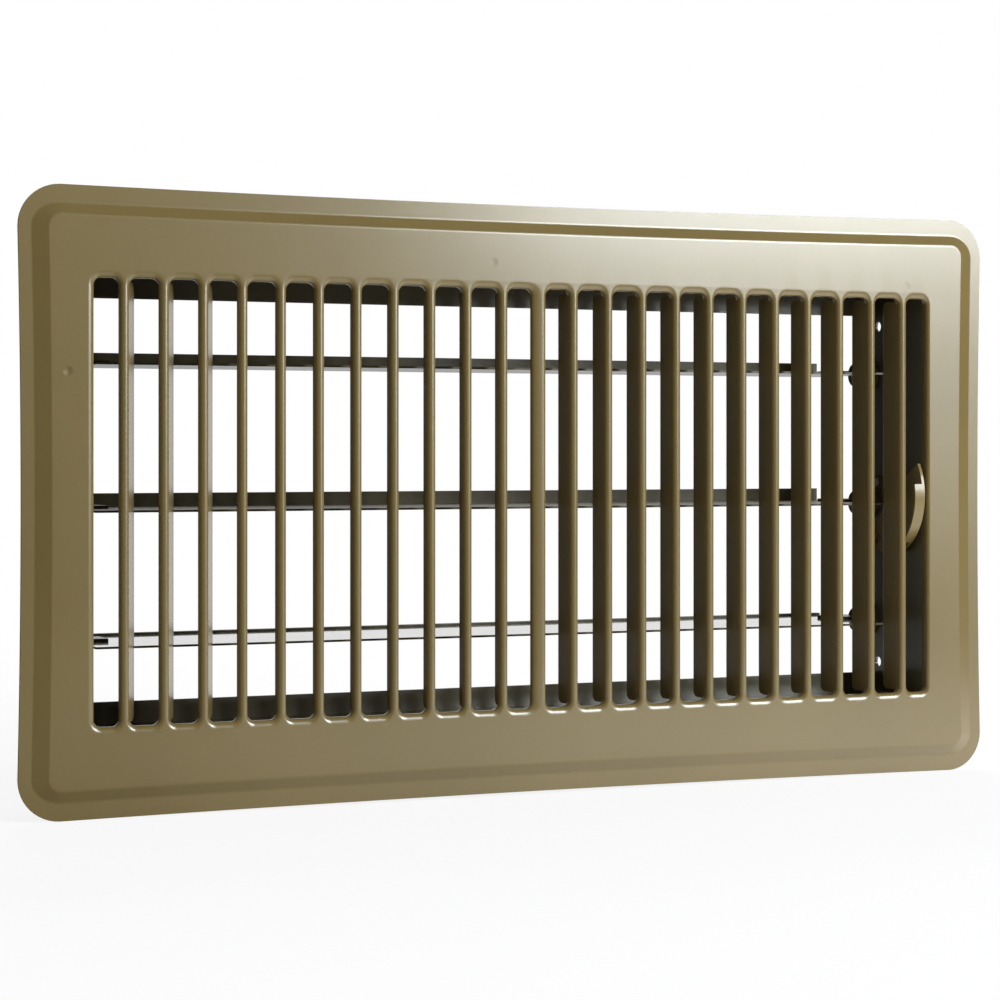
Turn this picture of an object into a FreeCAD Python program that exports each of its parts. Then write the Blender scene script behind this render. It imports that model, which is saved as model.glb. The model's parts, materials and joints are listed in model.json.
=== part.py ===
"""Louvred air grille with a three-blade damper, in millimetres.

The face looks along -Y, X runs along its long side and Z up its short side. The origin is the
centre of the plane at the back of the rim, where the rim lies on the wall or floor.
"""
import FreeCAD, Part
import math
import os
import re
import Sketcher

SIZES = {
    # stamped face
    "face_length": 345.0,
    "face_height": 192.6,
    "face_corner": 13.0,
    "edge_bow": 1.0,
    "face_sheet": 0.9,
    "rim_width": 4.0,
    "step_width": 4.7,
    "step_rise": 1.8,
    "crest_radius": 2.6,
    # louvres
    "side_border": 23.2,
    "end_border": 28.0,
    "bar_width": 3.0,
    "middle_bar_width": 4.9,
    "end_slot_width": 8.1,
    "slot_corner": 1.3,
    "edge_roll": 1.4,
    "lip_depth": 2.4,
    "fin_depth": 9.8,
    "fin_end_gap": 0.8,
    "left_inner_tilt": 2.5,
    "left_outer_tilt": 30.0,
    "right_outer_tilt": 6.0,
    # damper box
    "box_sheet": 0.9,
    "box_margin": 3.5,
    "channel_depth": 37.0,
    "channel_flange": 7.2,
    "channel_return": 6.95,
    "end_plate_depth": 44.0,
    "end_plate_gap": 0.3,
    "end_tab_length": 9.0,
    "end_tab_setback": 2.0,
    "screw_hole": 3.5,
    "screw_margin": 11.8,
    "screw_depth": 31.0,
    "rivet_shank": 3.2,
    "rivet_head": 6.0,
    "rivet_head_height": 1.0,
    "rivet_inset": 5.4,
    "rivet_depth": 19.5,
    # blades
    "blade_overlap": 0.63,
    "blade_sheet": 0.7,
    "blade_lip": 4.3,
    "blade_bend": 0.63,
    "upper_blade_drop": 5.1,
    "middle_blade_drop": 3.0,
    "lower_blade_raise": 2.85,
    "blade_tilt": 0.3,
    "blade_left_gap": 3.9,
    "blade_right_gap": 7.65,
    "bracket_sheet": 1.0,
    "bracket_gap": 1.2,
    "foot_length": 12.0,
    "foot_width": 11.0,
    "axle": 3.5,
    "axle_head": 7.0,
    "axle_boss": 4.0,
    "end_boss": 6.2,
    "end_boss_height": 0.9,
    # linkage
    "crank_arm": 6.8,
    "crank_angle": 40.0,
    "link_pin": 2.4,
    "link_pin_head": 4.2,
    "link_pin_head_height": 0.56,
    "pin_collar": 0.8,
    "link_sheet": 0.8,
    "link_width": 5.4,
    "link_gap": 0.8,
    "link_tab_wall": 1.3,
    "lever_gap": 0.39,
    "lever_depth": 19.5,
    "lever_radius": 21.0,
    "lever_sheet": 1.0,
    "lever_finger_width": 3.9,
    "lever_finger_low": 52.0,
    "lever_finger_high": 11.0,
    "lever_low": 130.0,
    "lever_high": 32.0,
    "lever_pivot": 4.0,
    "lever_pivot_collar": 1.5,
    "lever_pivot_peen": 0.7,
    "lever_hole": 3.6,
    "lever_hole_rear": 7.6,
    "lever_hole_low": 15.6,
    "peen_height": 0.5,
    "drive_pin": 2.6,
    "drive_arm_width": 5.4,
    # fits
    "pin_clearance": 0.05,
    "side_clearance": 0.3,
}
BARS_EACH_SIDE = 11
OUTER_LOUVRES = 3
BLADES = ("upper", "middle", "lower")
BLADE_HEIGHTS = [f"{blade}_blade_height" for blade in BLADES]

# Values that follow from the sizes above.
DERIVED = {
    "panel_front": "-(face_sheet + step_rise)",
    "field_half": "face_length / 2 - side_border",
    "slot_height": "face_height - 2 * end_border",
    "louvre_pitch": f"(field_half - end_slot_width - bar_width / 2) / {BARS_EACH_SIDE}",
    "lip_rear": "panel_front + lip_depth",
    "fin_rear": "panel_front + fin_depth",
    "channel_rear": "panel_front + channel_depth",
    "web_outside": "slot_height / 2 + box_margin",
    "web_inside": "web_outside - box_sheet",
    "end_inside": "field_half - side_clearance",
    "end_outside": "end_inside + box_sheet",
    "end_front": "lip_rear + end_plate_gap",
    "end_rear": "panel_front + end_plate_depth",
    "pivot_y": "channel_rear",
    "screw_spacing": "2 * (web_outside - screw_margin)",
    "blade_half": "web_outside / 3 + blade_overlap / 2",
    "upper_blade_height": "2 / 3 * web_outside - upper_blade_drop",
    "middle_blade_height": "-middle_blade_drop",
    "lower_blade_height": "-(2 / 3 * web_outside) + lower_blade_raise",
    "blade_left": "-(end_inside - blade_left_gap)",
    "blade_right": "end_inside - blade_right_gap",
    "crank_inside": "blade_right + bracket_gap",
    "crank_outside": "crank_inside + bracket_sheet",
    "link_inside": "crank_outside + link_gap",
    "link_outside": "link_inside + link_sheet",
    "pin_head_inside": "link_outside + side_clearance",
    "pin_head_outside": "pin_head_inside + link_pin_head_height",
    "lever_inside": "pin_head_outside + lever_gap",
    "lever_outside": "lever_inside + lever_sheet",
    "arm_y": "crank_arm * cos(crank_angle)",
    "arm_z": "crank_arm * sin(crank_angle)",
    "lever_y": "panel_front + lever_depth",
    "axle_radius": "axle / 2",
    "axle_hole": "axle / 2 + pin_clearance",
}

doc = FreeCAD.newDocument("AirGrille")
sheet = doc.addObject("Spreadsheet::Sheet", "Sizes")
for row, (alias, amount) in enumerate(SIZES.items(), start=1):
    sheet.set(f"A{row}", alias)
    sheet.set(f"B{row}", str(amount))
    sheet.setAlias(f"B{row}", alias)
doc.recompute()

parts = []


def full(text):
    """An expression with its derived values written out and its sizes named in the sheet."""
    def one(match):
        word = match.group()
        if word in DERIVED:
            return f"({full(DERIVED[word])})"
        return f"Sizes.{word}" if word in SIZES else word
    return re.sub(r"[a-z_]+", one, str(text))


def value(text):
    return float(sheet.evalExpression(full(text)))


def new_body(name):
    body = doc.addObject("PartDesign::Body", name)
    body.Label = name
    parts.append(body)
    doc.recompute()
    return body


def place(body, x="0", y="0", z="0", tilt="0"):
    """Puts a body's origin at a point and turns the body about X."""
    body.Placement.Rotation = FreeCAD.Rotation(FreeCAD.Vector(1, 0, 0), value(tilt))
    for axis, text in zip("xyz", (x, y, z)):
        body.setExpression(f"Placement.Base.{axis}", full(text))
    if tilt != "0":
        body.setExpression("Placement.Rotation.Angle", f"{full(tilt)} * 1 deg")


def sketch_on(body, role, height="0"):
    """A sketch on one of the body's origin planes, moved along that plane's normal."""
    sketch = body.newObject("Sketcher::SketchObject", f"{body.Name}_sketch")
    support = next(p for p in body.Origin.OriginFeatures if p.Role == role)
    sketch.AttachmentSupport = [(support, "")]
    sketch.MapMode = "FlatFace"
    sketch.setExpression("AttachmentOffset.Base.z", full(height))
    return sketch


def fix(sketch, kind, text, *where):
    """Adds a constraint whose size is an expression."""
    angle = kind == "Angle"
    amount = value(text)
    index = sketch.addConstraint(
        Sketcher.Constraint(kind, *where, math.radians(amount) if angle else amount))
    sketch.setExpression(f"Constraints[{index}]", full(text) + (" * 1 deg" if angle else ""))


def pin_point(sketch, geometry, point, x, y):
    fix(sketch, "DistanceX", x, -1, 1, geometry, point)
    fix(sketch, "DistanceY", y, -1, 1, geometry, point)


def polygon(sketch, corners):
    places = [FreeCAD.Vector(value(x), value(y), 0) for x, y in corners]
    lines = [sketch.addGeometry(Part.LineSegment(places[i - 1], places[i]))
             for i in range(len(places))]
    for i, line in enumerate(lines):
        sketch.addConstraint(
            Sketcher.Constraint("Coincident", line, 2, lines[(i + 1) % len(lines)], 1))
        pin_point(sketch, line, 2, *corners[i])


def rectangle(sketch, x_low, x_high, y_low, y_high):
    polygon(sketch, [(x_low, y_low), (x_high, y_low), (x_high, y_high), (x_low, y_high)])


def circle(sketch, x, y, radius):
    middle = FreeCAD.Vector(value(x), value(y), 0)
    index = sketch.addGeometry(Part.Circle(middle, FreeCAD.Vector(0, 0, 1), value(radius)))
    pin_point(sketch, index, 3, x, y)
    fix(sketch, "Radius", radius, index)


def stadium(sketch, start, end, radius):
    """Two half circles about two centres, joined by lines."""
    a, b = (FreeCAD.Vector(value(x), value(y), 0) for x, y in (start, end))
    angle = math.atan2(b.y - a.y, b.x - a.x)
    normal = FreeCAD.Vector(0, 0, 1)
    size = value(radius)
    side = FreeCAD.Vector(-math.sin(angle), math.cos(angle), 0) * size
    arcs = [
        sketch.addGeometry(Part.ArcOfCircle(
            Part.Circle(centre, normal, size), first, first + math.pi))
        for centre, first in ((a, angle + math.pi / 2), (b, angle - math.pi / 2))]
    lines = [sketch.addGeometry(Part.LineSegment(a - side, b - side)),
             sketch.addGeometry(Part.LineSegment(b + side, a + side))]
    for arc, line in ((0, 0), (1, 1)):
        sketch.addConstraint(Sketcher.Constraint("Tangent", arcs[arc], 2, lines[line], 1))
        sketch.addConstraint(Sketcher.Constraint("Tangent", lines[line], 2, arcs[1 - arc], 1))
    for arc, centre in zip(arcs, (start, end)):
        pin_point(sketch, arc, 3, *centre)
    fix(sketch, "Radius", radius, arcs[0])


def pad(body, sketch, length, reverse=False, both=False):
    feature = body.newObject("PartDesign::Pad", f"{body.Name}_pad")
    feature.Profile = sketch
    feature.setExpression("Length", full(length))
    feature.Reversed = reverse
    if both:
        feature.SideType = "Symmetric"
    doc.recompute()
    return feature


def pocket(body, sketch, depth, reverse=False):
    """Cuts a sketch into the body and makes sure that it took metal away."""
    before = body.Shape.Volume
    feature = body.newObject("PartDesign::Pocket", f"{body.Name}_pocket")
    feature.Profile = sketch
    feature.setExpression("Length", full(depth))
    feature.Reversed = reverse
    doc.recompute()
    if body.Shape.Volume >= before:
        raise RuntimeError(f"{feature.Name} cuts nothing")
    return feature


def fillet(body, radius, chosen):
    """Rounds the edges of the body's last feature that the test chooses."""
    base = body.Tip
    names = [f"Edge{i}" for i, edge in enumerate(base.Shape.Edges, start=1) if chosen(edge)]
    feature = body.newObject("PartDesign::Fillet", f"{body.Name}_fillet")
    feature.Base = (base, names)
    feature.setExpression("Radius", full(radius))
    doc.recompute()
    return feature


def chamfer(body, size, chosen):
    """Bevels the edges of the body's last feature that the test chooses."""
    base = body.Tip
    names = [f"Edge{i}" for i, edge in enumerate(base.Shape.Edges, start=1) if chosen(edge)]
    feature = body.newObject("PartDesign::Chamfer", f"{body.Name}_chamfer")
    feature.Base = (base, names)
    feature.setExpression("Size", full(size))
    doc.recompute()
    return feature


def box_of(edge, axis):
    box = edge.BoundBox
    return {"x": (box.XMin, box.XMax), "y": (box.YMin, box.YMax), "z": (box.ZMin, box.ZMax)}[axis]


def flat_at(edge, axis, place_text):
    """Does the edge lie in the plane at this place on this axis?"""
    low, high = box_of(edge, axis)
    wanted = value(place_text)
    return abs(low - wanted) < 1e-4 and abs(high - wanted) < 1e-4


# ---------------------------------------------------------------- stamped face


def bowed_outline(sketch, inset):
    """The face's outline moved inwards: sides that bow in a little, and round corners."""
    normal = FreeCAD.Vector(0, 0, 1)
    corner = f"(face_corner - ({inset}))"
    middle_x = "face_length / 2 - face_corner"
    middle_y = "face_height / 2 - face_corner"
    reach = {"x": f"((edge_bow ^ 2 + ({middle_y}) ^ 2) / (2 * edge_bow))",
             "y": f"((edge_bow ^ 2 + ({middle_x}) ^ 2) / (2 * edge_bow))"}
    turn_x = math.asin(value(middle_y) / value(reach["x"]))
    turn_y = math.asin(value(middle_x) / value(reach["y"]))
    corner_size = value(corner)
    corners, sides = [], []
    for quarter, (sign_x, sign_y) in enumerate([(1, 1), (-1, 1), (-1, -1), (1, -1)]):
        centre = FreeCAD.Vector(sign_x * value(middle_x), sign_y * value(middle_y), 0)
        first, last = (-turn_x, math.pi / 2 + turn_y)
        if quarter % 2:
            first, last = (-turn_y, math.pi / 2 + turn_x)
        start = quarter * math.pi / 2
        corners.append(sketch.addGeometry(Part.ArcOfCircle(
            Part.Circle(centre, normal, corner_size), start + first, start + last)))
    for quarter, across in enumerate(["y", "x", "y", "x"]):
        turn = turn_y if across == "y" else turn_x
        size = value(reach[across]) - corner_size
        half = value("face_height" if across == "y" else "face_length") / 2
        away = size + half - value("edge_bow") - value(inset)
        angle = (quarter + 1) * math.pi / 2
        centre = FreeCAD.Vector(math.cos(angle), math.sin(angle), 0) * away
        sides.append(sketch.addGeometry(Part.ArcOfCircle(
            Part.Circle(centre, normal, size), angle + math.pi - turn, angle + math.pi + turn)))
    for i, side in enumerate(sides):
        sketch.addConstraint(Sketcher.Constraint("Tangent", corners[i], 2, side, 2))
        sketch.addConstraint(
            Sketcher.Constraint("Tangent", side, 1, corners[(i + 1) % 4], 1))
        across = "yxyx"[i]
        fix(sketch, "Radius", f"{reach[across]} - {corner}", side)
    for i, (sign_x, sign_y) in enumerate([("", ""), ("-", ""), ("-", "-"), ("", "-")]):
        pin_point(sketch, corners[i], 3, f"{sign_x}({middle_x})", f"{sign_y}({middle_y})")
        fix(sketch, "Radius", corner, corners[i])


def bar_edges(number):
    """The left and right edges of one louvre bar, numbered from the middle bar, 0."""
    width = "middle_bar_width" if number == 0 else "bar_width"
    return (f"{number} * louvre_pitch - {width} / 2", f"{number} * louvre_pitch + {width} / 2")


def fin_tilt(number):
    """How far a louvre fin leans towards the middle of the face."""
    outer = abs(number) > BARS_EACH_SIDE - OUTER_LOUVRES
    if number > 0:
        return "right_outer_tilt" if outer else "0"
    return "left_outer_tilt" if outer else "left_inner_tilt"


def loft(body, kind, outlines):
    feature = body.newObject(f"PartDesign::{kind}", f"{body.Name}_loft")
    feature.Profile = outlines[0]
    feature.Sections = outlines[1:]
    feature.Ruled = True
    doc.recompute()
    return feature


def make_face_plate():
    """One stamping: rim, sloped step, raised panel, and louvres bent out of the slots."""
    body = new_body("face_plate")
    rim = sketch_on(body, "XZ_Plane")
    bowed_outline(rim, "0")
    pad(body, rim, "face_sheet")

    foot = sketch_on(body, "XZ_Plane", "face_sheet")
    bowed_outline(foot, "rim_width")
    crest = sketch_on(body, "XZ_Plane", "-panel_front")
    bowed_outline(crest, "rim_width + step_width")
    loft(body, "AdditiveLoft", [foot, crest])
    fillet(body, "crest_radius", lambda e: flat_at(e, "y", "panel_front")
           or (flat_at(e, "y", "-face_sheet") and is_foot(e)))

    mouth = sketch_on(body, "XZ_Plane")
    bowed_outline(mouth, "rim_width + face_sheet / 2")
    floor = sketch_on(body, "XZ_Plane", "step_rise")
    bowed_outline(floor, "rim_width + step_width + face_sheet / 2")
    loft(body, "SubtractiveLoft", [mouth, floor])

    field = sketch_on(body, "XZ_Plane", "step_rise")
    outside = "field_half + face_sheet"
    top = "slot_height / 2 + face_sheet"
    rectangle(field, f"-({outside})", outside, f"-({top})", top)
    pad(body, field, "lip_depth - face_sheet", reverse=True)

    edges = [bar_edges(k) for k in range(-BARS_EACH_SIDE, BARS_EACH_SIDE + 1)]
    lefts = ["-(field_half)"] + [right for _, right in edges]
    rights = [left for left, _ in edges] + ["field_half"]
    slots = sketch_on(body, "XZ_Plane", "-(lip_rear)")
    for left, right in zip(lefts, rights):
        rectangle(slots, left, right, "-slot_height / 2", "slot_height / 2")
    pocket(body, slots, "lip_depth", reverse=True)
    chamfer(body, "slot_corner", is_slot_corner)
    fillet(body, "min(edge_roll; 0.48 * bar_width)",
           lambda e: flat_at(e, "y", "panel_front") and abs(box_of(e, "z")[0]) < value(top)
           and abs(box_of(e, "x")[0]) < value(outside))

    grooves = sketch_on(body, "XZ_Plane", "-(lip_rear)")
    for left, right in edges:
        rectangle(grooves, f"{left} + face_sheet", f"{right} - face_sheet", f"-({top})", top)
    pocket(body, grooves, "lip_depth - face_sheet", reverse=True)

    fins = sketch_on(body, "XY_Plane")
    for k in range(-BARS_EACH_SIDE, BARS_EACH_SIDE + 1):
        if k:
            fin_section(fins, k)
    pad(body, fins, "slot_height - 2 * fin_end_gap", both=True)
    return body


def is_foot(edge):
    """Is the edge on the line where the step meets the rim, and not on the outer edge?"""
    inside = value("face_length / 2 - rim_width / 2")
    top = value("face_height / 2 - rim_width / 2")
    return max(map(abs, box_of(edge, "x"))) < inside and max(map(abs, box_of(edge, "z"))) < top


def is_slot_corner(edge):
    """Is the edge one of the straight corners of a slot, from its front to its lip's rear?"""
    low, high = box_of(edge, "y")
    at_end = abs(abs(box_of(edge, "z")[0]) - value("slot_height / 2")) < 1e-4
    within = abs(box_of(edge, "x")[0]) < value("field_half") + 1e-4
    return at_end and within and high - low > value("lip_depth") - 1e-4


def fin_section(sketch, number):
    """A fin's outline across its bar: it goes on from the flank nearer the face's middle."""
    tilt = fin_tilt(number)
    side = -1 if number > 0 else 1
    root_y = "lip_rear - face_sheet"
    edge = bar_edges(number)[0 if number > 0 else 1]
    inner = f"{edge} - {side} * face_sheet / cos({tilt})"
    lean = f"{side} * tan({tilt}) * (fin_rear - ({root_y}))"
    polygon(sketch, [(edge, root_y), (inner, root_y),
                     (f"{inner} + {lean}", "fin_rear"), (f"{edge} + {lean}", "fin_rear")])


# ---------------------------------------------------------------- damper box


def make_channel(name, sign):
    """A long side of the box: front flange under the panel, web, and a return at the rear."""
    body = new_body(name)
    front = "panel_front + face_sheet"
    section = sketch_on(body, "YZ_Plane", "-(end_outside)")
    polygon(section, [(y, f"{sign} * ({z})") for y, z in [
        (front, "web_inside"), ("channel_rear", "web_inside"), ("channel_rear", "web_outside"),
        (f"{front} + box_sheet", "web_outside"),
        (f"{front} + box_sheet", "web_outside + channel_flange"),
        (front, "web_outside + channel_flange")]])
    pad(body, section, "2 * end_outside")
    rear = sketch_on(body, "YZ_Plane", "-(end_inside)")
    rectangle(rear, "channel_rear - box_sheet", "channel_rear",
              *sorted((f"{sign} * (web_inside - channel_return)", f"{sign} * web_inside"),
                      key=value))
    pad(body, rear, "2 * end_inside")
    fillet(body, "box_sheet", lambda e: abs(box_of(e, "x")[0] - box_of(e, "x")[1]) > 50
           and abs(abs(box_of(e, "z")[0]) - value("web_outside")) < 1e-4
           and abs(box_of(e, "y")[0] - value("channel_rear")) < 1e-4)
    holes = sketch_on(body, "XY_Plane", f"{sign} * (web_inside - box_sheet)")
    for x, y in rivet_places():
        circle(holes, x, y, "rivet_shank / 2 + pin_clearance")
    pocket(body, holes, "3 * box_sheet", reverse=sign > 0)


def rivet_places():
    across = "end_outside - rivet_inset"
    depth = "panel_front + rivet_depth"
    return [(across, depth), (f"-({across})", depth)]


def make_end_plate(name, sign):
    """A short side of the box, with a tab at each end that laps the channels' webs."""
    body = new_body(name)
    plate = sketch_on(body, "YZ_Plane", "end_inside" if sign > 0 else "-(end_outside)")
    rectangle(plate, "end_front", "end_rear", "-(web_inside)", "web_inside")
    pad(body, plate, "box_sheet")
    fillet(body, "3 * box_sheet", lambda e: flat_at(e, "y", "end_rear")
           and box_of(e, "x")[1] - box_of(e, "x")[0] > value("box_sheet") / 2)
    for up in (1, -1):
        tab = sketch_on(body, "XY_Plane", "web_inside - box_sheet" if up > 0 else "-(web_inside)")
        ends = ("end_outside - end_tab_length", "end_outside")
        if sign < 0:
            ends = (f"-({ends[1]})", f"-({ends[0]})")
        rectangle(tab, *ends, "end_front + end_tab_setback",
                  "channel_rear - box_sheet - side_clearance")
        pad(body, tab, "box_sheet")
        holes = sketch_on(body, "XY_Plane", f"{up} * (web_inside - 2 * box_sheet)")
        for x, y in rivet_places():
            if (value(x) > 0) == (sign > 0):
                circle(holes, x, y, "rivet_shank / 2 + pin_clearance")
        pocket(body, holes, "4 * box_sheet", reverse=up > 0)
    boss_start = "end_inside - end_boss_height" if sign > 0 else "-(end_inside)"
    bosses = sketch_on(body, "YZ_Plane", boss_start)
    for height in BLADE_HEIGHTS:
        circle(bosses, "pivot_y", height, "end_boss")
    pad(body, bosses, "end_boss_height")
    holes = sketch_on(body, "YZ_Plane", f"{sign} * (end_inside - 2 * box_sheet)")
    for up in (1, -1):
        circle(holes, "panel_front + screw_depth", f"{up} * screw_spacing / 2", "screw_hole / 2")
    for height in BLADE_HEIGHTS:
        circle(holes, "pivot_y", height, "axle_hole")
    if sign > 0:
        circle(holes, "lever_y", "0", "lever_pivot / 2 + pin_clearance")
    pocket(body, holes, "4 * box_sheet", reverse=sign > 0)


def make_corner_rivets():
    """A rivet through each tab and web, with its head outside."""
    outside = value("web_outside")
    inside = value("web_inside - box_sheet")
    up = FreeCAD.Vector(0, 0, 1)
    solids = []
    for x, y in rivet_places():
        at = FreeCAD.Vector(value(x), value(y), 0)
        shank = Part.makeCylinder(
            value("rivet_shank / 2"), outside - inside, at + up * inside, up)
        head = Part.makeCylinder(
            value("rivet_head / 2"), value("rivet_head_height"), at + up * outside, up)
        rivet = shank.fuse(head).removeSplitter()
        solids += [rivet, rivet.mirror(FreeCAD.Vector(0, 0, 0), up)]
    feature = doc.addObject("Part::Feature", "corner_rivets")
    feature.Label = "corner_rivets"
    feature.Shape = Part.makeCompound(solids)
    parts.append(feature)


# ---------------------------------------------------------------- blades and their axles


def make_blade(name, height, lip):
    """A flat sheet on the pivot line, with a lip turned up along its rear edge."""
    body = new_body(name)
    place(body, y="pivot_y", z=height, tilt="blade_tilt")
    half = "blade_half"
    top = "blade_sheet / 2"
    section = sketch_on(body, "YZ_Plane", "blade_left")
    corners = [(f"-{half}", f"-{top}"), (half, f"-{top}"), (half, top), (f"-{half}", top)]
    if lip:
        corners[2:3] = [(half, f"blade_lip + {top}"), (f"{half} - blade_sheet", f"blade_lip + {top}"),
                        (f"{half} - blade_sheet", top)]
    polygon(section, corners)
    pad(body, section, "blade_right - blade_left")
    if lip:
        fillet(body, "blade_bend", lambda e: box_of(e, "x")[1] - box_of(e, "x")[0] > 50
               and abs(box_of(e, "z")[0] + value(top)) < 1e-4 and box_of(e, "y")[0] > 0)


def make_bracket(name, height, crank):
    """An angle on a blade's end: a foot on the blade and an ear that carries the axle."""
    body = new_body(name)
    place(body, y="pivot_y", z=height, tilt="blade_tilt")
    arm_end = ("-crank_arm * cos(crank_angle + blade_tilt)",
               "crank_arm * sin(crank_angle + blade_tilt)")
    start = "crank_inside" if crank else "blade_left - bracket_gap - bracket_sheet"
    foot_ends = (start, f"{start} + foot_length")
    if crank:
        foot_ends = ("crank_outside - foot_length", "crank_outside")
    ear = sketch_on(body, "YZ_Plane", start)
    circle(ear, "0", "0", "axle_boss")
    pad(body, ear, "bracket_sheet")
    if crank:
        arm = sketch_on(body, "YZ_Plane", start)
        stadium(arm, ("0", "0"), arm_end, "link_width / 2")
        pad(body, arm, "bracket_sheet")
    foot = sketch_on(body, "XY_Plane", "blade_sheet / 2")
    rectangle(foot, *foot_ends, "-axle_boss", "foot_width - axle_boss")
    pad(body, foot, "bracket_sheet")
    holes = sketch_on(body, "YZ_Plane", f"{start} - bracket_sheet")
    circle(holes, "0", "0", "axle_hole")
    if crank:
        circle(holes, *arm_end, "link_pin / 2 + pin_clearance")
    pocket(body, holes, "3 * bracket_sheet", reverse=True)


def make_pin(name, y, z, steps):
    """A turned pin along X: steps are (place where it starts, radius), and the last place."""
    body = new_body(name)
    place(body, y=y, z=z)
    half = sketch_on(body, "XY_Plane")
    corners = [(steps[0][0], "0")]
    for (start, radius), (end, _) in zip(steps, steps[1:]):
        corners += [(start, radius), (end, radius)]
    corners.append((steps[-1][0], "0"))
    polygon(half, corners)
    turned = body.newObject("PartDesign::Revolution", f"{name}_turned")
    turned.Profile = half
    turned.ReferenceAxis = (half, ["H_Axis"])
    turned.Angle = 360
    doc.recompute()


def make_axle(name, height, right):
    """A headed axle, flush in its bracket and free to turn in the end plate."""
    head_start = "end_outside + side_clearance"
    head_end = "end_outside + side_clearance + bracket_sheet"
    if right:
        steps = [("crank_inside", "axle_radius"), (head_start, "axle_head / 2"), (head_end, "0")]
    else:
        steps = [(f"-({head_end})", "axle_head / 2"), (f"-({head_start})", "axle_radius"),
                 ("blade_left - bracket_gap", "0")]
    make_pin(name, "pivot_y", height, steps)


# ---------------------------------------------------------------- linkage and lever


def make_link_bar():
    """The upright strip that ties the three cranks, with a slot in its tab for the drive pin."""
    body = new_body("link_bar")
    place(body, y="pivot_y - arm_y", z="arm_z")
    slot = "drive_pin / 2 + side_clearance"
    strip = sketch_on(body, "YZ_Plane", "link_inside")
    stadium(strip, ("0", "lower_blade_height"), ("0", "upper_blade_height"), "link_width / 2")
    pad(body, strip, "link_sheet")
    nearest = "lever_y - pivot_y + 2 * crank_arm"
    farthest = "lever_y - pivot_y + 2 * arm_y"
    tab = sketch_on(body, "YZ_Plane", "link_inside")
    stadium(tab, (farthest, "0"), ("0", "0"), f"{slot} + link_tab_wall")
    pad(body, tab, "link_sheet")
    holes = sketch_on(body, "YZ_Plane", "link_inside - link_sheet")
    for height in BLADE_HEIGHTS:
        circle(holes, "0", height, "link_pin / 2 + pin_clearance")
    stadium(holes, (farthest, "0"), (nearest, "0"), slot)
    pocket(body, holes, "3 * link_sheet", reverse=True)


def make_link_pin(name, height):
    make_pin(name, "pivot_y - arm_y", f"{height} + arm_z", [
        ("crank_inside", "link_pin / 2"), ("pin_head_inside", "link_pin_head / 2"),
        ("pin_head_outside", "0")])


def swept_ring(body, inner, outer, x_low, x_high, low, high):
    """Turns a rectangle about the lever's pivot, from low degrees below the front to high above."""
    half = sketch_on(body, "XY_Plane")
    rectangle(half, x_low, x_high, f"-({outer})", f"-({inner})")
    turned = body.newObject("PartDesign::Revolution", f"{body.Name}_turned")
    turned.Profile = half
    turned.ReferenceAxis = (half, ["H_Axis"])
    turned.Type = "TwoAngles"
    turned.setExpression("Angle", full(low))
    turned.setExpression("Angle2", full(high))
    doc.recompute()


def make_lever():
    """A sector plate with a finger flange on its rim and an arm for the drive pin."""
    body = new_body("lever")
    place(body, y="lever_y")
    swept_ring(body, "lever_pivot / 2 + pin_clearance", "lever_radius", "lever_inside",
               "lever_outside", "lever_low", "lever_high")
    swept_ring(body, "lever_radius - lever_sheet", "lever_radius",
               "lever_outside - lever_finger_width", "lever_outside",
               "lever_finger_low", "lever_finger_high")
    arm = sketch_on(body, "YZ_Plane", "lever_inside")
    stadium(arm, ("0", "0"), ("arm_y", "arm_z"), "drive_arm_width / 2")
    pad(body, arm, "lever_sheet")
    hub = sketch_on(body, "YZ_Plane", "lever_inside")
    circle(hub, "0", "0", "lever_pivot")
    pad(body, hub, "lever_sheet")
    holes = sketch_on(body, "YZ_Plane", "lever_inside - lever_sheet")
    circle(holes, "0", "0", "lever_pivot / 2 + pin_clearance")
    circle(holes, "arm_y", "arm_z", "drive_pin / 2 + pin_clearance")
    circle(holes, "lever_hole_rear", "-lever_hole_low", "lever_hole / 2")
    pocket(body, holes, "3 * lever_sheet", reverse=True)


def make_lever_pins():
    """The pivot pin, peened in the end plate, and the pin that moves the link bar."""
    collar = "lever_pivot / 2 + lever_pivot_collar"
    make_pin("lever_pivot_pin", "lever_y", "0", [
        ("lever_inside - side_clearance - peen_height", "lever_pivot / 2 + lever_pivot_peen"),
        ("lever_inside - side_clearance", "lever_pivot / 2"), ("end_outside", collar),
        ("end_outside + box_sheet", "0")])
    make_pin("drive_pin", "lever_y + arm_y", "arm_z", [
        ("link_inside - side_clearance", "drive_pin / 2"),
        ("lever_outside", "drive_pin / 2 + pin_collar"), ("lever_outside + peen_height", "0")])


# ---------------------------------------------------------------- the whole grille


make_face_plate()
make_channel("upper_channel", 1)
make_channel("lower_channel", -1)
make_end_plate("left_end_plate", -1)
make_end_plate("right_end_plate", 1)
make_corner_rivets()
for blade, blade_height in zip(BLADES, BLADE_HEIGHTS):
    make_blade(f"{blade}_blade", blade_height, blade != "lower")
    make_bracket(f"{blade}_crank", blade_height, True)
    make_bracket(f"{blade}_left_bracket", blade_height, False)
    make_axle(f"{blade}_crank_axle", blade_height, True)
    make_axle(f"{blade}_left_axle", blade_height, False)
    make_link_pin(f"{blade}_link_pin", blade_height)
make_link_bar()
make_lever()
make_lever_pins()

doc.recompute()
for item in doc.Objects:
    if "Invalid" in item.State or "Error" in item.State:
        raise RuntimeError(f"{item.Name} failed: {item.State}")
os.makedirs("parts", exist_ok=True)
for part in parts:
    shape = part.Shape
    if shape.isNull() or not shape.isValid() or not shape.Solids:
        raise RuntimeError(f"{part.Label} has no valid shape")
    shape.exportStep(f"parts/{part.Label}.step")
    print(part.Label, len(shape.Solids), round(shape.Volume, 1))
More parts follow.
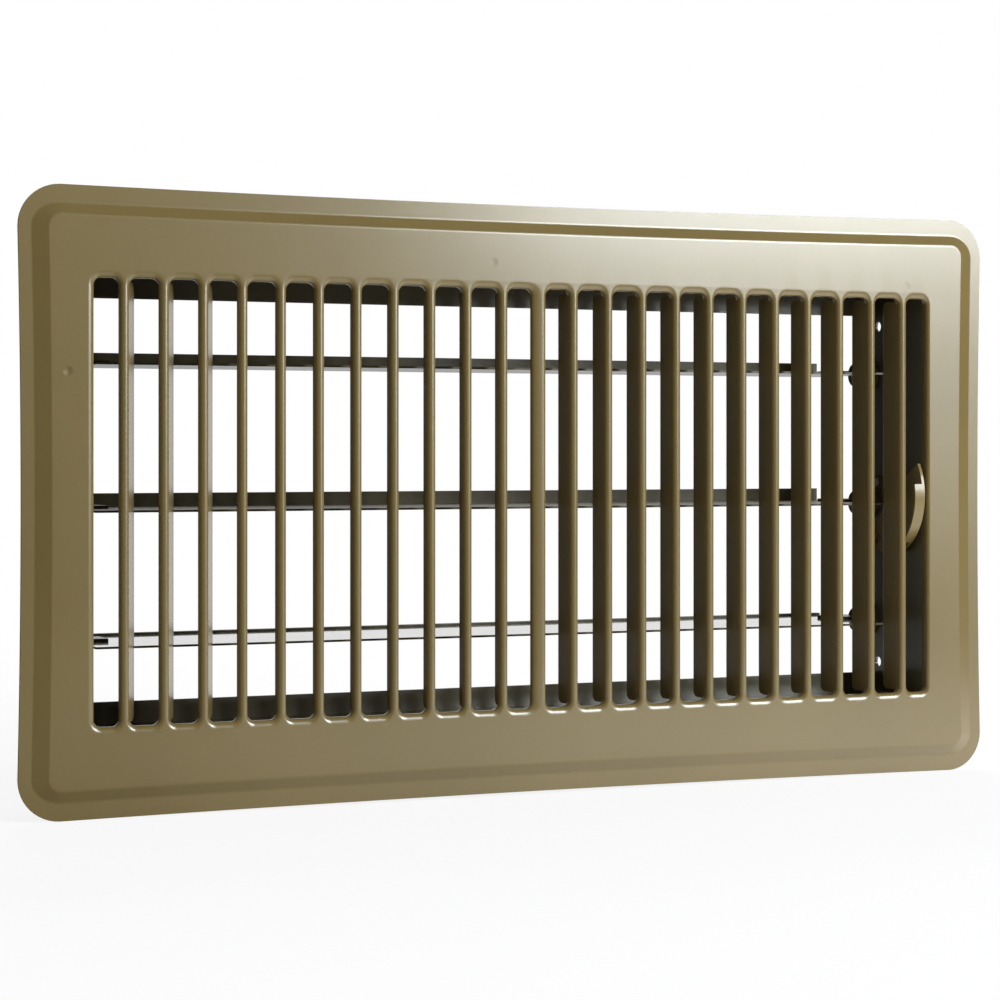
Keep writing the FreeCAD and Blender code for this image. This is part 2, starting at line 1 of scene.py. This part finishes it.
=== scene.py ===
"""The louvred air grille: materials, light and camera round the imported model, in metres."""
import json
import math

import bmesh
import bpy
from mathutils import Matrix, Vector


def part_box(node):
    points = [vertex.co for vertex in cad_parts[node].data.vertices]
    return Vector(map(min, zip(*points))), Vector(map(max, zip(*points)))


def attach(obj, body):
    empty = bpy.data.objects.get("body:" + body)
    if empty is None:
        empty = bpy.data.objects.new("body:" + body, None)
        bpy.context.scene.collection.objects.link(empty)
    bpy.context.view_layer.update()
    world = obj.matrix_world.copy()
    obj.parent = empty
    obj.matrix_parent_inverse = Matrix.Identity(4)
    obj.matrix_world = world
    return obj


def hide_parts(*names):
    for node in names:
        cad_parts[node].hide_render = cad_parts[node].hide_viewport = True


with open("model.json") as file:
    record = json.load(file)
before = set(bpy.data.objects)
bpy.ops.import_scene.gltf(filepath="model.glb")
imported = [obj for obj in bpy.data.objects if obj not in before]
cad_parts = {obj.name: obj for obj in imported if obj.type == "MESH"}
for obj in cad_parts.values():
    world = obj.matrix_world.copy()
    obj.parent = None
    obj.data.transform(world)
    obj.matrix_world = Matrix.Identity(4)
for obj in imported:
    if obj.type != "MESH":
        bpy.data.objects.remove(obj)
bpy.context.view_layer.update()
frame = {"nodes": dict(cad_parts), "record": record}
plate_low, plate_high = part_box("face_plate")

MM = 0.001

# The face, from its outer edge inwards. The side is the short one; the long one has a wider rim.
SHEET = 0.9 * MM
FACE_HALF = Vector((plate_high.x, plate_high.z))
FACE_CORNER = 13.0 * MM
EDGE_BOW = 1.0 * MM
RIM_SIDE, RIM_LONG = 4.2 * MM, 5.5 * MM
STEP_SIDE, STEP_LONG = 4.7 * MM, 3.6 * MM
STEP_RISE = 1.8 * MM
CREST_RADIUS = 2.2 * MM
PANEL_Y = -(SHEET + STEP_RISE)

# The slots and the bars between them, numbered from the middle bar, 0.
SIDE_BORDER = 23.2 * MM
END_BORDER = 28.0 * MM
END_SLOT_WIDTH = 8.1 * MM
BAR_WIDTH = 3.0 * MM
MIDDLE_BAR_WIDTH = 4.9 * MM
SLOT_CORNER = 2.3 * MM
BARS_EACH_SIDE = 11
BAR_NUMBERS = range(-BARS_EACH_SIDE, BARS_EACH_SIDE + 1)
FIELD_HALF = FACE_HALF.x - SIDE_BORDER
SLOT_HALF = FACE_HALF.y - END_BORDER
PITCH = (FIELD_HALF - END_SLOT_WIDTH - BAR_WIDTH / 2) / BARS_EACH_SIDE

# How wide the panel rolls over into a slot: at a bar, at the slots' ends, beside the left
# border and on the left of the middle bar. EDGE_ROLL is also how deep every roll goes.
EDGE_ROLL = 1.4 * MM
END_ROLL = 2.4 * MM
BORDER_ROLL = 2.2 * MM
MIDDLE_ROLL = 3.3 * MM
LIP_DEPTH = 2.4 * MM
LIP_REAR_Y = PANEL_Y + LIP_DEPTH

# The fins bent back from the bars. The three outer ones at each end lean most.
FIN_DEPTH = 9.8 * MM
FIN_REAR_Y = PANEL_Y + FIN_DEPTH
FIN_END_GAP = 0.8 * MM
FIN_CORNER = 2.2 * MM
OUTER_LOUVRES = 3
LEFT_INNER_TILT = math.radians(2.5)
LEFT_OUTER_TILT = math.radians(30.0)
RIGHT_INNER_TILT = 0.0
RIGHT_OUTER_TILT = math.radians(6.0)

# The lower blade's folded rear edge, which is sunk a little into the blade.
HEM_HEIGHT = 0.7 * MM
HEM_DEPTH = 3.0 * MM
HEM_SINK = 0.3 * MM
HEM_INSET = 0.05 * MM

# How finely round shapes are cut, and the bevels that break sharp edges.
RIM_CORNER_STEPS = 12
RIM_SIDE_STEPS = 24
SLOT_CORNER_STEPS = 8
ROLL_STEPS = 6
BEND_STEPS = 5
EDGE_BREAK = 0.25 * MM
HEM_EDGE_BREAK = 0.2 * MM
BREAK_SEGMENTS = 2
SHARP_ANGLE = math.radians(50.0)

# Small dents that the photograph shows in the panel, by their x and z in millimetres.
DENTS = [(x * MM, PANEL_Y, z * MM) for x, z in ((-16.5, 76.6), (-157.6, 39.8), (141.0, 72.7))]
DENT_RADIUS = 1.6 * MM
DENT_STRENGTH, DENT_DEPTH = 0.8, 0.6 * MM

# Colours are linear. Each is a base, a tone that drifts over it, and a dust or grime tone.
OLIVE = ((0.142, 0.100, 0.033), (0.128, 0.090, 0.029), (0.19, 0.15, 0.07))
BOX_OLIVE = ((0.090, 0.074, 0.040), (0.066, 0.055, 0.030), (0.15, 0.13, 0.09))
BLADE_OLIVE = ((0.062, 0.047, 0.018), (0.046, 0.035, 0.013), (0.12, 0.10, 0.06))
LEVER_OLIVE = ((0.165, 0.120, 0.042), (0.145, 0.105, 0.036), (0.24, 0.19, 0.10))
STEEL = ((0.50, 0.49, 0.46), (0.36, 0.35, 0.33), (0.20, 0.18, 0.15))

# Paint: each noise has a scale, in patches per metre, and the band of its values that counts.
TONE_SCALE, TONE_BAND = 14.0, (0.35, 0.65)
SHEEN_SCALE, SHEEN_BAND = 60.0, (0.3, 0.7)
DUST_SCALE, DUST_DETAIL, DUST_BAND = 900.0, 4.0, (0.60, 0.78)
PEEL_SCALE, PEEL_STRENGTH, PEEL_HEIGHT = 700.0, 0.10, 0.2 * MM
SHEEN_DROP, SHEEN_RISE = 0.03, 0.05
PAINT_SPECULAR = 0.15

# Steel: fine turning marks, stretched round the pins, and grime.
MARKS_SCALE, MARKS_STRETCH = 2500.0, (1.0, 0.15, 0.15)
MARKS_STRENGTH, MARKS_HEIGHT = 0.15, 0.1 * MM
GRIME_SCALE, GRIME_BAND, GRIME_SHARE = 300.0, (0.55, 0.75), 0.6
STEEL_ROUGHNESS = (0.28, 0.42)
STEEL_METALLIC = 0.6

FINE_DETAIL = 2.0
COARSE_DETAIL = 3.0


class Tree:
    """The node tree of a material or a world, with short calls for its nodes."""

    def __init__(self, owner, output="ShaderNodeOutputMaterial"):
        owner.use_nodes = True
        self.owner = owner
        self.tree = owner.node_tree
        self.tree.nodes.clear()
        self.output = self.node(output)
        self.coordinates = self.node("ShaderNodeTexCoord").outputs
        self.where = self.coordinates["Object"]

    def node(self, kind, **settings):
        """A new node, with its own settings but no values in its sockets yet."""
        made = self.tree.nodes.new(kind)
        for key, amount in settings.items():
            setattr(made, key, amount)
        return made

    def feed(self, socket, amount):
        """Links another node's output to a socket, or sets the socket's own value."""
        if isinstance(amount, bpy.types.NodeSocket):
            self.tree.links.new(amount, socket)
        else:
            socket.default_value = amount

    def noise(self, scale, detail=COARSE_DETAIL, stretch=None):
        """Noise over the object; a stretch below 1 makes its grain longer along that axis."""
        source = self.where
        if stretch:
            mapping = self.node("ShaderNodeMapping")
            mapping.inputs["Scale"].default_value = stretch
            self.feed(mapping.inputs["Vector"], source)
            source = mapping.outputs["Vector"]
        made = self.node("ShaderNodeTexNoise")
        made.inputs["Scale"].default_value = scale
        made.inputs["Detail"].default_value = detail
        self.feed(made.inputs["Vector"], source)
        return made.outputs["Fac"]

    def remap(self, source, low, high, to_low=0.0, to_high=1.0):
        """A value moved from one range to another, and kept inside it."""
        made = self.node("ShaderNodeMapRange")
        for key, amount in (("Value", source), ("From Min", low), ("From Max", high),
                            ("To Min", to_low), ("To Max", to_high)):
            self.feed(made.inputs[key], amount)
        return made.outputs["Result"]

    def mix_colours(self, share, first, second):
        """A mix of two colours, each given as a tuple or as another node's output."""
        made = self.node("ShaderNodeMix", data_type="RGBA")
        self.feed(made.inputs["Factor"], share)
        for key, colour in (("A", first), ("B", second)):
            socket = next(s for s in made.inputs if s.name == key and s.type == "RGBA")
            self.feed(socket, (*colour, 1.0) if isinstance(colour, tuple) else colour)
        return next(s for s in made.outputs if s.type == "RGBA")

    def mix_values(self, share, first, second):
        """A mix of two numbers, each given as itself or as another node's output."""
        made = self.node("ShaderNodeMix")
        for key, amount in (("Factor", share), ("A", first), ("B", second)):
            self.feed(made.inputs[key], amount)
        return made.outputs["Result"]

    def calculate(self, operation, first, second):
        """The result of an operation on two values."""
        made = self.node("ShaderNodeMath", operation=operation)
        self.feed(made.inputs[0], first)
        self.feed(made.inputs[1], second)
        return made.outputs[0]

    def near(self, point, inner, outer, to_near, to_far):
        """A value that changes with the distance from a point of the object."""
        away = self.node("ShaderNodeVectorMath", operation="DISTANCE")
        self.feed(away.inputs[0], self.where)
        self.feed(away.inputs[1], point)
        return self.remap(away.outputs["Value"], inner, outer, to_near, to_far)

    def facing(self, direction, towards):
        """The dot product of a direction's output with a fixed direction."""
        made = self.node("ShaderNodeVectorMath", operation="DOT_PRODUCT")
        self.feed(made.inputs[0], direction)
        self.feed(made.inputs[1], towards)
        return made.outputs["Value"]

    def bump(self, height, strength, distance, under=None):
        """A bump; under is the normal of another bump that it lies on."""
        made = self.node("ShaderNodeBump")
        if under is not None:
            self.feed(made.inputs["Normal"], under)
        for key, amount in (("Strength", strength), ("Distance", distance), ("Height", height)):
            self.feed(made.inputs[key], amount)
        return made.outputs["Normal"]

    def surface(self, shader):
        """Sends a shader to the output and returns the finished material or world."""
        self.feed(self.output.inputs["Surface"], shader)
        return self.owner

    def principled(self, **inputs):
        """Finishes the material with one Principled shader; _ stands for a space."""
        made = self.node("ShaderNodeBsdfPrincipled")
        for key, amount in inputs.items():
            self.feed(made.inputs[key.replace("_", " ")], amount)
        return self.surface(made.outputs["BSDF"])


def paint(name, colours, roughness, coat, coat_roughness, dust, dents=()):
    """Baked enamel: a tone that drifts a little, fine dust, orange peel and small dents."""
    base, drift, dusty = colours
    tree = Tree(bpy.data.materials.new(name))
    colour = tree.mix_colours(tree.remap(tree.noise(TONE_SCALE), *TONE_BAND), base, drift)
    specks = tree.remap(tree.noise(DUST_SCALE, DUST_DETAIL), *DUST_BAND, 0.0, dust)
    colour = tree.mix_colours(specks, colour, dusty)
    normal = tree.bump(tree.noise(PEEL_SCALE, FINE_DETAIL), PEEL_STRENGTH, PEEL_HEIGHT)
    for dent in dents:
        height = tree.near(dent, 0.0, DENT_RADIUS, 0.0, 1.0)
        normal = tree.bump(height, DENT_STRENGTH, DENT_DEPTH, under=normal)
    return tree.principled(
        Base_Color=colour,
        Roughness=tree.remap(tree.noise(SHEEN_SCALE), *SHEEN_BAND,
                             roughness - SHEEN_DROP, roughness + SHEEN_RISE),
        Specular_IOR_Level=PAINT_SPECULAR,
        Coat_Weight=coat,
        Coat_Roughness=coat_roughness,
        Normal=normal)


def steel(name, colours):
    """Bright steel with fine turning marks and a little grime."""
    base, drift, grime = colours
    tree = Tree(bpy.data.materials.new(name))
    marks = tree.noise(MARKS_SCALE, FINE_DETAIL, MARKS_STRETCH)
    colour = tree.mix_colours(tree.remap(marks, *TONE_BAND), base, drift)
    dirt = tree.remap(tree.noise(GRIME_SCALE), *GRIME_BAND, 0.0, GRIME_SHARE)
    colour = tree.mix_colours(dirt, colour, grime)
    return tree.principled(
        Base_Color=colour,
        Metallic=STEEL_METALLIC,
        Roughness=tree.remap(marks, *SHEEN_BAND, *STEEL_ROUGHNESS),
        Normal=tree.bump(marks, MARKS_STRENGTH, MARKS_HEIGHT))


MATERIALS = {
    "painted_steel": paint("face_enamel", OLIVE, roughness=0.42, coat=1.0,
                           coat_roughness=0.21, dust=0.10, dents=DENTS),
    "box_steel": paint("box_enamel", BOX_OLIVE, roughness=0.45, coat=1.0,
                       coat_roughness=0.16, dust=0.15),
    "blade_steel": paint("blade_enamel", BLADE_OLIVE, roughness=0.40, coat=0.35,
                         coat_roughness=0.18, dust=0.12),
    "lever_paint": paint("lever_enamel", LEVER_OLIVE, roughness=0.38, coat=0.5,
                         coat_roughness=0.20, dust=0.10),
    "rivet_steel": steel("zinc_steel", STEEL),
}
# The lower blade mirrors the backdrop, so its paint is glossier than the other blades'.
OWN_MATERIALS = {
    "lower_blade": paint("glossy_enamel", BLADE_OLIVE, roughness=0.34, coat=1.0,
                         coat_roughness=0.05, dust=0.06),
}
slot_of = {entry["node"]: entry["material_slot"] for entry in frame["record"]["subparts"]}
for node, piece in frame["nodes"].items():
    for place in piece.material_slots:
        place.material = OWN_MATERIALS.get(node, MATERIALS[slot_of[node]])


# The face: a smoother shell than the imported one, with round slot corners and rounded fins.
def arc(centre, radius, start, end, steps):
    """Points (a, b) on an arc, from one angle to the other."""
    return [(centre[0] + radius * math.cos(start + (end - start) * i / steps),
             centre[1] + radius * math.sin(start + (end - start) * i / steps))
            for i in range(steps + 1)]


def bar_span(number):
    """Left and right edge of a bar."""
    half = (BAR_WIDTH if number else MIDDLE_BAR_WIDTH) / 2
    return number * PITCH - half, number * PITCH + half


def slot_spans():
    """Each slot's left edge, right edge and pair of rolls, from the left."""
    bars = [bar_span(number) for number in BAR_NUMBERS]
    lefts = [-FIELD_HALF] + [right for _, right in bars]
    rights = [left for left, _ in bars] + [FIELD_HALF]
    return [(left, right, (BORDER_ROLL if number == 0 else EDGE_ROLL,
                           MIDDLE_ROLL if number == BARS_EACH_SIDE else EDGE_ROLL))
            for number, (left, right) in enumerate(zip(lefts, rights))]


def face_ring(inset_x, inset_z):
    """The face's outline moved inwards, as (x, z): round corners, and sides that bow in."""
    reach = FACE_HALF - Vector((FACE_CORNER, FACE_CORNER))
    radius_x, radius_z = FACE_CORNER - inset_x, FACE_CORNER - inset_z
    points = []
    for quarter, (sign_x, sign_z) in enumerate([(1, 1), (-1, 1), (-1, -1), (1, -1)]):
        start = quarter * math.pi / 2
        for i in range(RIM_CORNER_STEPS + 1):
            turn = start + i / RIM_CORNER_STEPS * math.pi / 2
            points.append((sign_x * reach.x + radius_x * math.cos(turn),
                           sign_z * reach.y + radius_z * math.sin(turn)))
        for i in range(1, RIM_SIDE_STEPS):
            along = 1 - 2 * i / RIM_SIDE_STEPS
            bow = EDGE_BOW * (1 - along ** 2)
            if quarter % 2 == 0:
                points.append((sign_x * along * reach.x,
                               sign_z * (FACE_HALF.y - inset_z - bow)))
            else:
                points.append((sign_x * (FACE_HALF.x - inset_x - bow),
                               sign_z * along * reach.y))
    return points


def step_profile(rim, step):
    """The face's cross-section from its outer edge to the panel, as (inset, y)."""
    slope = math.atan2(STEP_RISE, step)
    tangent = CREST_RADIUS * math.tan(slope / 2)
    foot = arc((rim - tangent, -SHEET - CREST_RADIUS), CREST_RADIUS,
               math.pi / 2, math.pi / 2 - slope, BEND_STEPS)
    crest = arc((rim + step + tangent, PANEL_Y + CREST_RADIUS), CREST_RADIUS,
                -math.pi / 2 - slope, -math.pi / 2, BEND_STEPS)
    return [(0.0, -SHEET)] + foot + crest


def slot_ring(left, right, share, rolls):
    """A slot's outline moved outwards by a share of its left and right rolls, as (x, z)."""
    left_roll, right_roll = rolls
    points = []
    for quarter, (x, z, roll) in enumerate([
            (right - SLOT_CORNER, SLOT_HALF - SLOT_CORNER, right_roll),
            (left + SLOT_CORNER, SLOT_HALF - SLOT_CORNER, left_roll),
            (left + SLOT_CORNER, SLOT_CORNER - SLOT_HALF, left_roll),
            (right - SLOT_CORNER, SLOT_CORNER - SLOT_HALF, right_roll)]):
        for i in range(SLOT_CORNER_STEPS + 1):
            turn = (quarter + i / SLOT_CORNER_STEPS) * math.pi / 2
            points.append((x + (SLOT_CORNER + share * roll) * math.cos(turn),
                           z + (SLOT_CORNER + share * END_ROLL) * math.sin(turn)))
    return points


def add_ring(shape, points, y):
    """New vertices at points (x, z), all at one y."""
    return [shape.verts.new((x, y, z)) for x, z in points]


def bridge(shape, first, second):
    """A band of faces between two closed rings with as many vertices each."""
    for i in range(len(first)):
        shape.faces.new((first[i - 1], first[i], second[i], second[i - 1]))


def bridge_all(shape, rings):
    """Bridges each ring to the next one, and returns the last ring's edges."""
    for first, second in zip(rings, rings[1:]):
        bridge(shape, first, second)
    last = rings[-1]
    return [shape.edges.get((last[i - 1], last[i])) for i in range(len(last))]


def finish_mesh(name, shape):
    """Turns the bmesh into a smooth-shaded object."""
    for face in shape.faces:
        face.smooth = True
    mesh = bpy.data.meshes.new(name)
    shape.to_mesh(mesh)
    shape.free()
    made = bpy.data.objects.new(name, mesh)
    bpy.context.scene.collection.objects.link(made)
    return made


def break_edges(piece, width):
    """Bevels the piece's sharp edges and keeps its flats flat in the shading."""
    bevel = piece.modifiers.new("edges", "BEVEL")
    bevel.width = width
    bevel.segments = BREAK_SEGMENTS
    bevel.limit_method = "ANGLE"
    bevel.angle_limit = SHARP_ANGLE
    bevel.use_clamp_overlap = True
    normals = piece.modifiers.new("normals", "WEIGHTED_NORMAL")
    normals.keep_sharp = True


def make_face_shell():
    """The face without its fins: one skin from the rim to the slots' lips, made a sheet."""
    shape = bmesh.new()
    profiles = zip(step_profile(RIM_SIDE, STEP_SIDE), step_profile(RIM_LONG, STEP_LONG))
    boundary = bridge_all(shape, [
        add_ring(shape, face_ring(inset_x, inset_z), (y_side + y_long) / 2)
        for (inset_x, y_side), (inset_z, y_long) in profiles])
    # A roll is a quarter round, from the lip outwards: (share of its width, share of its depth).
    quarter_round = arc((1.0, 1.0), 1.0, math.pi, 1.5 * math.pi, ROLL_STEPS)
    levels = [(0.0, LIP_REAR_Y)]
    levels += [(share, PANEL_Y + depth * EDGE_ROLL) for share, depth in quarter_round]
    for left, right, rolls in slot_spans():
        boundary += bridge_all(shape, [
            add_ring(shape, slot_ring(left, right, share, rolls), y) for share, y in levels])
    bmesh.ops.triangle_fill(shape, edges=boundary, use_beauty=True, normal=(0, -1, 0))
    bmesh.ops.recalc_face_normals(shape, faces=shape.faces)
    faces_rearwards = sum(face.normal.y * face.calc_area() for face in shape.faces) > 0
    if faces_rearwards:
        bmesh.ops.reverse_faces(shape, faces=shape.faces)
    made = finish_mesh("face_shell", shape)
    thick = made.modifiers.new("sheet", "SOLIDIFY")
    thick.thickness = SHEET
    thick.offset = -1.0
    break_edges(made, EDGE_BREAK)
    return made


def fin_tilt(number):
    """How far the fin of a bar is turned from straight back."""
    outer = abs(number) > BARS_EACH_SIDE - OUTER_LOUVRES
    if number > 0:
        return RIGHT_OUTER_TILT if outer else RIGHT_INNER_TILT
    return LEFT_OUTER_TILT if outer else LEFT_INNER_TILT


def make_fins():
    """The strips bent back from the slots, one on each bar but the middle one.

    A fin starts at its bar's flank towards the middle of the face, and leans that way.
    """
    shape = bmesh.new()
    depth = FIN_REAR_Y - LIP_REAR_Y
    high = SLOT_HALF - FIN_END_GAP
    outline = [(0.0, -high)]
    outline += arc((depth - FIN_CORNER, FIN_CORNER - high), FIN_CORNER,
                   -math.pi / 2, 0, BEND_STEPS)
    outline += arc((depth - FIN_CORNER, high - FIN_CORNER), FIN_CORNER,
                   0, math.pi / 2, BEND_STEPS)
    outline += [(0.0, high)]
    for number in BAR_NUMBERS:
        if number == 0:
            continue
        left, right = bar_span(number)
        flank, inwards = (left, -1) if number > 0 else (right, 1)
        lean = inwards * math.tan(fin_tilt(number))
        sides = [[shape.verts.new((flank + lean * back + shift, LIP_REAR_Y + back, z))
                  for back, z in outline] for shift in (0.0, -inwards * SHEET)]
        shape.faces.new(sides[0])
        shape.faces.new(list(reversed(sides[1])))
        bridge(shape, sides[0], sides[1])
    bmesh.ops.recalc_face_normals(shape, faces=shape.faces)
    made = finish_mesh("louvre_fins", shape)
    break_edges(made, EDGE_BREAK)
    return made


def make_hem():
    """The lower blade's rear edge, folded over by one thickness of sheet."""
    blade = frame["nodes"]["lower_blade"]
    corners = [blade.matrix_world @ vertex.co for vertex in blade.data.vertices]
    left = min(corner.x for corner in corners) + HEM_INSET
    right = max(corner.x for corner in corners) - HEM_INSET
    rear = max(corner.y for corner in corners) - HEM_INSET
    top = max(corner.z for corner in corners if corner.y > rear - HEM_DEPTH)
    section = ((rear, top - HEM_SINK), (rear, top + HEM_HEIGHT),
               (rear - HEM_DEPTH, top + HEM_HEIGHT), (rear - HEM_DEPTH, top - HEM_SINK))
    shape = bmesh.new()
    ends = [[shape.verts.new((x, y, z)) for y, z in section] for x in (left, right)]
    shape.faces.new(ends[0])
    shape.faces.new(list(reversed(ends[1])))
    bridge(shape, ends[0], ends[1])
    bmesh.ops.recalc_face_normals(shape, faces=shape.faces)
    made = finish_mesh("lower_blade_hem", shape)
    break_edges(made, HEM_EDGE_BREAK)
    return made


hem = make_hem()
hem.data.materials.append(MATERIALS["blade_steel"])
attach(hem, "lower_damper")

shell = make_face_shell()
fins = make_fins()
for piece in (shell, fins):
    piece.data.materials.append(MATERIALS["painted_steel"])
    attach(piece, "frame")
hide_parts("face_plate")


# Stage: a pale floor and a world that the camera sees as white. Gloss sees the white only
# ahead of the photograph's view, behind the grille, and on the floor before its right end.
VIEW_AZIMUTH = math.radians(24.6)
BACKDROP_TOWARDS = (math.sin(VIEW_AZIMUTH), math.cos(VIEW_AZIMUTH), 0.0)
BACKDROP_EDGE = (0.80, 0.94)
WHITE = 1.0
WORLD_LIGHT = 0.25
STUDIO_DARK = 0.04
FLOOR_Z = plate_low.z
FLOOR_SIZE = 12.0
FLOOR_COLOUR = (0.82, 0.82, 0.82, 1.0)
# Near the grille this share of the floor's look is plain white, and the rest takes its shadow.
FLOOR_NEAR, FLOOR_FAR, NEAR_SHARE = 0.25, 1.0, 0.85
# A patch of floor before the grille's right end, which gloss sees bright.
GLOW_AT, GLOW_INNER, GLOW_OUTER, GLOW = (0.24, -0.12, 0.0), 0.10, 0.42, 2.7
PLAIN_COLOUR = (1.0, 1.0, 1.0)
GLARE_COLOUR = (0.94, 1.0, 1.0)


def make_floor():
    """A pale floor, mostly plain white to the camera, that keeps some of the shadow."""
    bpy.ops.mesh.primitive_plane_add(size=FLOOR_SIZE, location=(0, 0, FLOOR_Z))
    floor = bpy.context.object
    floor.name = "floor"
    tree = Tree(bpy.data.materials.new("pale_floor"))
    path = tree.node("ShaderNodeLightPath").outputs
    seen = tree.calculate("MAXIMUM", path["Is Camera Ray"], path["Is Glossy Ray"])
    seen = tree.calculate("MAXIMUM", seen, path["Is Transmission Ray"])
    plain = tree.near((0.0, 0.0, 0.0), FLOOR_NEAR, FLOOR_FAR, NEAR_SHARE, 1.0)
    share = tree.calculate("MULTIPLY", seen, plain)

    outwards = tree.node("ShaderNodeVectorMath", operation="NORMALIZE")
    tree.feed(outwards.inputs[0], tree.where)
    ahead = tree.facing(outwards.outputs["Vector"], BACKDROP_TOWARDS)
    glow = tree.near(GLOW_AT, GLOW_INNER, GLOW_OUTER, GLOW, STUDIO_DARK)
    in_gloss = tree.calculate("MAXIMUM", glow, tree.remap(ahead, *BACKDROP_EDGE))
    white = tree.node("ShaderNodeEmission")
    tree.feed(white.inputs["Strength"], tree.mix_values(path["Is Glossy Ray"], WHITE, in_gloss))

    pale = tree.node("ShaderNodeBsdfDiffuse")
    pale.inputs["Color"].default_value = FLOOR_COLOUR
    mixed = tree.node("ShaderNodeMixShader")
    tree.feed(mixed.inputs["Fac"], share)
    tree.feed(mixed.inputs[1], pale.outputs["BSDF"])
    tree.feed(mixed.inputs[2], white.outputs["Emission"])
    floor.data.materials.append(tree.surface(mixed.outputs["Shader"]))


def make_world():
    """White to the camera; to gloss, a white backdrop behind the grille in a dim studio."""
    world = bpy.data.worlds.new("studio")
    bpy.context.scene.world = world
    tree = Tree(world, "ShaderNodeOutputWorld")
    path = tree.node("ShaderNodeLightPath").outputs
    ahead = tree.facing(tree.coordinates["Generated"], BACKDROP_TOWARDS)
    backdrop = tree.remap(ahead, *BACKDROP_EDGE, STUDIO_DARK, WHITE)
    strength = tree.mix_values(path["Is Glossy Ray"], WORLD_LIGHT, backdrop)
    strength = tree.mix_values(path["Is Transmission Ray"], strength, WHITE)
    strength = tree.mix_values(path["Is Camera Ray"], strength, WHITE)
    background = tree.node("ShaderNodeBackground")
    background.inputs["Color"].default_value = (*PLAIN_COLOUR, 1.0)
    tree.feed(background.inputs["Strength"], strength)
    tree.surface(background.outputs["Background"])


def softbox(name, azimuth, elevation, distance, size, power, colour=PLAIN_COLOUR, glare=False):
    """An area light that faces the grille; azimuth 0 is straight in front, 90 at its right.

    Only a glare light shows in gloss, and none shows to the camera.
    """
    turn, rise = math.radians(azimuth), math.radians(elevation)
    at = Vector((math.sin(turn) * math.cos(rise), -math.cos(turn) * math.cos(rise),
                 math.sin(rise))) * distance
    light = bpy.data.lights.new(name, "AREA")
    light.shape = "RECTANGLE"
    light.size, light.size_y = size
    light.energy = power
    light.color = colour
    lamp = bpy.data.objects.new(name, light)
    bpy.context.scene.collection.objects.link(lamp)
    lamp.location = at
    lamp.rotation_euler = (-at).to_track_quat("-Z", "Y").to_euler()
    lamp.visible_camera = False
    lamp.visible_glossy = glare


make_floor()
make_world()
softbox("glare_softbox", azimuth=36.0, elevation=18.0, distance=1.5, size=(0.60, 0.56),
        power=27.0, colour=GLARE_COLOUR, glare=True)
softbox("low_softbox", azimuth=36.0, elevation=2.0, distance=1.5, size=(0.60, 0.20),
        power=1.3, colour=GLARE_COLOUR, glare=True)
softbox("right_softbox", azimuth=58.0, elevation=42.0, distance=1.6, size=(0.7, 0.7), power=2.5)
softbox("left_softbox", azimuth=-15.0, elevation=50.0, distance=1.6, size=(0.8, 0.8), power=3.0)
softbox("rear_softbox", azimuth=155.0, elevation=40.0, distance=1.6, size=(0.9, 0.9), power=16.0)

# Camera: level, left of the grille's middle, and turned to the right, as in the photograph.
CAMERA_AT = (-0.3823, -0.8064, 0.0162)
CAMERA_LENS = 98.4
CAMERA_SENSOR = 36.0
CAMERA_SHIFT = -0.051
CAMERA_REACH = 50.0
LEVEL = math.radians(90.0)

camera_data = bpy.data.cameras.new("camera")
camera_data.lens = CAMERA_LENS
camera_data.sensor_width = CAMERA_SENSOR
camera_data.shift_y = CAMERA_SHIFT
camera_data.clip_end = CAMERA_REACH
camera = bpy.data.objects.new("camera", camera_data)
bpy.context.scene.collection.objects.link(camera)
camera.location = CAMERA_AT
camera.rotation_euler = (LEVEL, 0.0, -VIEW_AZIMUTH)
bpy.context.scene.camera = camera
bpy.context.scene.view_settings.view_transform = "Standard"
